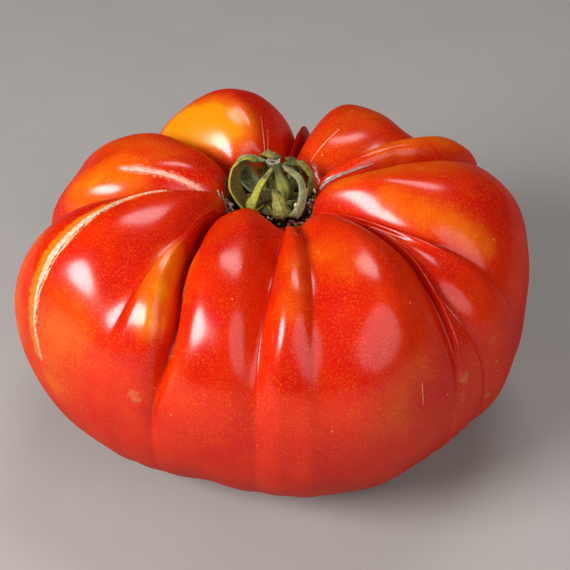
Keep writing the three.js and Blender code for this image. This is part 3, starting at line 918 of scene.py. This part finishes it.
def make_sepal(number, sepal):
    """One thin cupped sepal, with a raised midrib, side veins, waved edges and a curling tip.

    Returns the feet and tips of its hairs.
    """
    random = np.random.default_rng(RANDOM_SEED + number)
    share = np.linspace(0, 1, SEPAL_STEPS + 1)
    centre, side, outward = sepal_frame(sepal, share)
    taper = np.minimum(1, np.minimum(12 * share, 12 * (1 - share)))
    half = np.maximum(sepal["width"] * (0.5 - 0.32 * share**2) * taper, THINNEST_HALF_WIDTH)
    lanes = np.linspace(-1, 1, SEPAL_LANES + 1)
    waves = {side_sign: rough_line(random, SEPAL_STEPS + 1, 7) for side_sign in (-1, 1)}
    fields = {"veins": [], "share": [], "inner": [], "margin": []}
    sheets = []
    for inner, sheet_lanes in enumerate((lanes, lanes[::-1])):
        for lane in sheet_lanes:
            wave = waves[1 if lane > 0 else -1]
            ragged = 1 + 0.16 * wave * abs(lane) ** 3
            cup = -0.5 * half * lane**2 + 0.28 * wave * abs(lane) ** 2
            thick = SEPAL_HALF_THICKNESS + MIDRIB_HALF_THICKNESS * math.exp(-(lane / 0.16) ** 2)
            vein = vein_height(lane, share)
            lift = cup + (-thick if inner else thick + 0.1 * vein)
            sheets.append(centre + side * (lane * half * ragged)[:, None] + outward * lift[:, None])
            fields["veins"].append(vein)
            fields["share"].append(share)
            fields["inner"].append(np.full_like(share, inner))
            # The inner face keeps its lit colour only near the margin, and on the turned sepal only near
            # one edge; the rest is in painted shade
            fields["margin"].append(np.full_like(share, lane if "turned" in sepal else abs(lane)))
    faces = grid_faces(len(sheets), len(share)) + end_faces(len(sheets), len(share))
    faces = [face[::-1] for face in faces]
    fields = {field: np.concatenate(values) for field, values in fields.items()}
    name = "sepal_" + sepal["name"]
    paint = leaf_paint(name, **sepal["colours"])
    new_piece(name, np.concatenate(sheets), faces, paint, "calyx", fields)
    return hair_ends(random, np.array(sheets), lanes, side, outward)


def hair_ends(random, sheets, lanes, side, outward):
    """Feet and tips of short hairs scattered over both faces of a sepal."""
    line = random.integers(0, len(sheets), HAIRS_A_SEPAL)
    step = random.integers(3, len(side) - 2, HAIRS_A_SEPAL)
    facing = np.where(line < len(lanes), 1, -1)[:, None]
    lean = facing * lanes[line % len(lanes), None]
    scatter = random.normal(0, 0.4, (HAIRS_A_SEPAL, 3))
    towards = unit(outward[step] * facing + side[step] * lean * 0.8 + scatter)
    feet = sheets[line, step] - towards * HAIR_ROOT
    return feet, feet + towards * random.uniform(*HAIR_LENGTHS, (HAIRS_A_SEPAL, 1))


def spikes(feet, tips, width):
    """Points and faces of closed three-sided spikes."""
    ahead = unit(tips - feet)
    side = unit(np.cross(ahead, (0.3, 0.5, 0.8)))
    other = np.cross(ahead, side)
    turns = np.radians([0, 120, 240])
    corners = [feet + width * (math.cos(turn) * side + math.sin(turn) * other) for turn in turns]
    points = np.stack([*corners, tips], 1).reshape(-1, 3)
    faces = []
    for first in range(0, len(points), 4):
        left, right, far, tip = range(first, first + 4)
        faces += [(left, far, right), (left, right, tip), (right, far, tip), (far, left, tip)]
    return points, faces


def make_sepals():
    """All the sepals, with their short pale hairs in one piece."""
    strands = [make_sepal(number, sepal) for number, sepal in enumerate(SEPALS)]
    feet, tips = (np.concatenate(ends) for ends in zip(*strands))
    points, faces = spikes(feet, tips, HAIR_WIDTH)
    paint = plain_paint("pale_hair", (0.50, 0.50, 0.30), (0.34, 0.32, 0.16))
    new_piece("calyx_hairs", points, faces, paint, "calyx")


def skin_level(x, y, hollow_skin):
    """Height of the hollow's skin at a place seen from above."""
    nearest = np.argmin(np.hypot(hollow_skin[:, 0] - x, hollow_skin[:, 1] - y))
    return hollow_skin[nearest, 2]


def crumb_shape():
    """Rings of a ball's points from its top down."""
    slope = np.linspace(0.12, math.pi - 0.12, CRUMB_RINGS)[:, None]
    turn = even_turns(CRUMB_SIDES)[None, :]
    level = np.sin(slope)
    return np.stack([level * np.cos(turn), level * np.sin(turn), np.cos(slope) + 0 * turn], -1)


def make_crumbs(name, spots, paint, hollow_skin):
    """Irregular crumbs, each (x, y, size) resting on the skin or (x, y, size, height) on the calyx."""
    random = np.random.default_rng(RANDOM_SEED + len(name))
    ball = crumb_shape()
    points, faces = [], []
    for number, (x, y, size, *height) in enumerate(spots):
        level = HOLLOW_FLOOR + height[0] if height else skin_level(x, y, hollow_skin) + size * CRUMB_LIFT
        squash = random.uniform(0.6, 1.1, 3) * size
        shape = ball * random.uniform(0.75, 1.2, (CRUMB_RINGS, CRUMB_SIDES, 1)) * squash
        points.append((np.array([x, y, level]) + shape).reshape(-1, 3))
        first = number * CRUMB_RINGS * CRUMB_SIDES
        faces += [face[::-1] for face in tube_faces(CRUMB_RINGS, CRUMB_SIDES, first)]
    new_piece(name, np.concatenate(points), faces, paint, "calyx")


def make_twigs(hollow_skin):
    """Thin dry twigs lying bent over the hollow's wall, each through (x, y, height over the skin)."""
    share = np.linspace(0, 1, TWIG_STEPS + 1)
    points, faces = [], []
    for number, (radius, *route) in enumerate(DRY_TWIGS):
        knots = np.array([(x, y, skin_level(x, y, hollow_skin) + lift) for x, y, lift in route])
        centre, ahead = bent_line(knots, share)
        thick = radius * (1 - 0.5 * share) * (1 + 0.2 * np.sin(9 * share + number))
        points += rings_round(centre, ahead, (0.2, 0.1, 1.0), np.tile(thick[:, None], TWIG_SIDES))
        faces += tube_faces(len(share), TWIG_SIDES, number * len(share) * TWIG_SIDES)
    paint = plain_paint("dry_twig", (0.50, 0.36, 0.24), (0.26, 0.16, 0.09))
    new_piece("dry_twigs", np.concatenate(points), faces, paint, "calyx")


def make_stalk():
    """The cut stalk: ridged, slightly flared, with a sunken pale cut face round a dark pith."""
    share = np.linspace(0, 1, STALK_STEPS + 1)
    centre, ahead = bent_line(np.array(STALK_LINE) + FLOOR_LEVEL, share)
    upright = smooth((share[:, None] - 0.6) / 0.4)
    ahead = unit(ahead * (1 - upright) + np.array(STALK_CUT_FACING) * upright)
    turn = even_turns(STALK_SIDES)
    knob = 0.2 * np.exp(-((share - 0.42) / 0.13) ** 2)
    waist = 0.5 * np.exp(-((share - 0.74) / 0.14) ** 2)
    ridges = 1 + 0.06 * np.cos(5 * turn) + 0.03 * np.cos(11 * turn + 1)
    shrink, rise, darkness = np.array(CUT_RINGS).T
    cut_radii = STALK_RADIUS * shrink[:, None] * (1 + 0.05 * np.cos(3 * turn + shrink[:, None] * 9))
    radii = np.concatenate([(STALK_RADIUS + knob - waist)[:, None] * ridges, cut_radii])
    centre = np.concatenate([centre, centre[-1] + ahead[-1] * rise[:, None]])
    ahead = np.concatenate([ahead, np.tile(ahead[-1], (len(CUT_RINGS), 1))])
    rings = rings_round(centre, ahead, (0.0, 1.0, 0.2), radii)
    cut_rings = [1.0] * len(CUT_RINGS)
    shaft_rings = [0.0] * len(share)
    fields = {
        "cut": np.repeat(shaft_rings + cut_rings, STALK_SIDES),
        "hollow": np.repeat([*shaft_rings, *darkness], STALK_SIDES),
        "up": np.repeat([*share, *cut_rings], STALK_SIDES),
    }
    faces = tube_faces(len(rings), STALK_SIDES)
    new_piece("stalk", np.concatenate(rings), faces, stalk_paint(), "calyx", fields)


def make_cushion():
    """The corky cushion at the stalk's foot, scalloped where the sepals leave it."""
    turn = even_turns(CUSHION_SIDES)
    random = np.random.default_rng(RANDOM_SEED)
    rings = []
    for radius, height in CUSHION_OUTLINE:
        reach = radius * (1 + 0.07 * np.cos(len(SEPALS) * turn) * radius / CUSHION_RADIUS)
        wobble = 0.12 * rough_ring(random, CUSHION_SIDES, 3) * min(1, radius)
        level = HOLLOW_FLOOR + height + wobble
        rings.append(np.stack([reach * np.cos(turn), reach * np.sin(turn), level], 1))
    faces = tube_faces(len(rings), CUSHION_SIDES)
    paint = plain_paint("cushion_cork", (0.16, 0.12, 0.05), (0.05, 0.035, 0.02))
    new_piece("cushion", np.concatenate(rings), faces, paint, "calyx")


def make_marks():
    """The crack down the left lobe, the scar behind it, the crack by the stem and the pale streaks."""
    crack_cork = cork_paint("crack_cork", (0.86, 0.62, 0.46), (0.62, 0.34, 0.18), (0.05, 0.022, 0.01))
    scar_cork = cork_paint("scar_cork", (0.88, 0.52, 0.42), (0.82, 0.34, 0.24), (0.75, 0.20, 0.10))
    grey_cork = cork_paint("grey_cork", (0.50, 0.44, 0.38), (0.30, 0.24, 0.20), (0.10, 0.07, 0.05))
    lay_strip("side_crack", SIDE_CRACK, crack_cork, seed=3, lip=0.38, fissure=0.36, fissure_at=0.45,
              lanes=20, ragged=0.25)
    lay_strip("shoulder_scar", SHOULDER_SCAR, scar_cork, seed=4, lip=0.1, ragged=0.15)
    lay_strip("stem_crack", STEM_CRACK, grey_cork, seed=5, lip=0.35, fissure=0.25)
    streak_cork = cork_paint("pale_streak", (0.90, 0.42, 0.28), (0.82, 0.24, 0.12), (0.80, 0.20, 0.08))
    for number, streak in enumerate(PALE_STREAKS):
        lay_strip(f"pale_streak_{number + 1}", streak, streak_cork, seed=20 + number, lip=0.05, lanes=4)


def make_scraps(hollow_skin):
    """The crumbs and dry twigs in the hollow."""
    for kind, spots in CRUMBS.items():
        paint = plain_paint(f"{kind}_crumb", *CRUMB_COLOURS[kind])
        make_crumbs(f"{kind}_crumbs", spots, paint, hollow_skin)
    make_twigs(hollow_skin)


def aim(data, target, bearing, elevation, distance):
    """Sets a camera or a light to face a target, from a bearing and an elevation in degrees."""
    turn, rise = math.radians(bearing), math.radians(elevation)
    level = math.cos(rise)
    back = Vector((level * math.cos(turn), level * math.sin(turn), math.sin(rise)))
    aimed = bpy.data.objects.new(data.name, data)
    aimed.location = Vector(target) + back * distance
    aimed.rotation_euler = (-back).to_track_quat("-Z", "Y").to_euler()
    bpy.context.collection.objects.link(aimed)
    return aimed


def make_camera():
    """The photograph's view."""
    data = bpy.data.cameras.new("camera")
    data.lens = CAMERA_LENS
    data.sensor_width = CAMERA_SENSOR
    data.clip_start = CAMERA_NEAREST
    bpy.context.scene.camera = aim(data, CAMERA_AIM, CAMERA_BEARING, CAMERA_ELEVATION, CAMERA_DISTANCE)


def make_light(name, bearing, elevation, width, height, power, colour, distance):
    """A soft oval light aimed at the fruit."""
    data = bpy.data.lights.new(name, "AREA")
    data.shape = "ELLIPSE"
    data.size, data.size_y = width, height
    data.energy = power
    data.color = colour
    aim(data, LIGHTS_AIM, bearing, elevation, distance)


def make_stage():
    """A plain pale floor, and soft studio light from the left front, the right front and above."""
    paint = Paint("pale_floor", Specular_IOR_Level=0.2)
    tone = paint.over((0.368, 0.354, 0.33), (0.382, 0.367, 0.342), paint.noise(40), 0.3, 0.7)
    mesh = bpy.data.meshes.new("floor")
    half = FLOOR_HALF_SIDE
    corners = [(-half, -half, 0), (half, -half, 0), (half, half, 0), (-half, half, 0)]
    mesh.from_pydata(corners, [], [(0, 1, 2, 3)])
    mesh.materials.append(paint.done(tone, 0.8))
    floor = bpy.data.objects.new("floor", mesh)
    bpy.context.collection.objects.link(floor)
    for name, settings in LIGHTS.items():
        make_light(name, *settings)
    world = bpy.data.worlds.new("studio")
    world.use_nodes = True
    background = world.node_tree.nodes["Background"]
    background.inputs["Color"].default_value = WORLD_COLOUR
    background.inputs["Strength"].default_value = WORLD_STRENGTH
    bpy.context.scene.world = world
    bpy.context.scene.view_settings.view_transform = "Standard"


make_camera()
fruit_points, fruit_faces, fruit_fields = make_skin()
STEM_PLACE = place_over_frame(fruit_points)
new_piece("skin", fruit_points, fruit_faces, skin_paint(), "fruit", fruit_fields)
make_marks()
make_sepals()
make_scraps(fruit_points[fruit_fields["down"] < HOLLOW_END])
make_stalk()
make_cushion()
make_stage()
